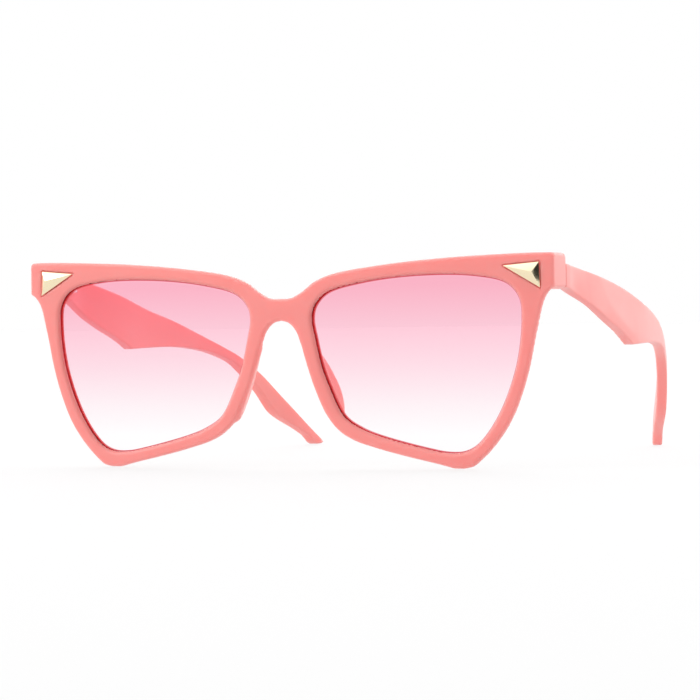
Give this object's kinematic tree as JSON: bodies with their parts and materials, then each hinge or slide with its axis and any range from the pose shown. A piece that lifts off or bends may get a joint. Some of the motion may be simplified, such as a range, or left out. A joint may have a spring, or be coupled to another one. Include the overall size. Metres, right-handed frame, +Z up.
{
  "type": "sunglasses",
  "caption": "Cat eye sunglasses with a moulded front, tinted gradient lenses, pointed metal studs at the corners and wedge-shaped temples that fold on screw hinges.",
  "frame": {"origin": "on the ground, under the middle of the box of the open glasses", "axes": "+X to the wearer's left, the front faces -Y and the temples run towards +Y, +Z up"},
  "size_m": [0.1512, 0.1404, 0.0534],
  "materials": {
    "frame_plastic": "satin coral pink moulded plastic",
    "lens_tint": "clear polished sheet, pink tint at the top fading to clear at the bottom",
    "stud_gold": "polished pale gold plating",
    "hinge_metal": "nickel plated"
  },
  "bodies": {
    "front": {"front_frame": "frame_plastic", "lens_left": "lens_tint", "lens_right": "lens_tint", "stud_left": "stud_gold", "stud_right": "stud_gold", "hinge_front_leaf_left": "hinge_metal", "hinge_front_leaf_right": "hinge_metal", "hinge_pivot_screw_left": "hinge_metal", "hinge_pivot_screw_right": "hinge_metal", "front_leaf_screw_1_left": "hinge_metal", "front_leaf_screw_1_right": "hinge_metal", "front_leaf_screw_2_left": "hinge_metal", "front_leaf_screw_2_right": "hinge_metal"},
    "temple_arm_left": {"temple_left": "frame_plastic", "hinge_temple_leaf_left": "hinge_metal", "temple_leaf_screw_1_left": "hinge_metal", "temple_leaf_screw_2_left": "hinge_metal"},
    "temple_arm_right": {"temple_right": "frame_plastic", "hinge_temple_leaf_right": "hinge_metal", "temple_leaf_screw_1_right": "hinge_metal", "temple_leaf_screw_2_right": "hinge_metal"}
  },
  "joints": [
    {"name": "left_temple_hinge", "type": "hinge", "parent": "front", "child": "temple_arm_left", "pos_m": [0.0684, -0.05935, 0.0478], "axis": [0, 0, 1], "range_deg": [0, 84]},
    {"name": "right_temple_hinge", "type": "hinge", "parent": "front", "child": "temple_arm_right", "pos_m": [-0.0684, -0.05935, 0.0478], "axis": [0, 0, -1], "range_deg": [0, 77]}
  ]
}
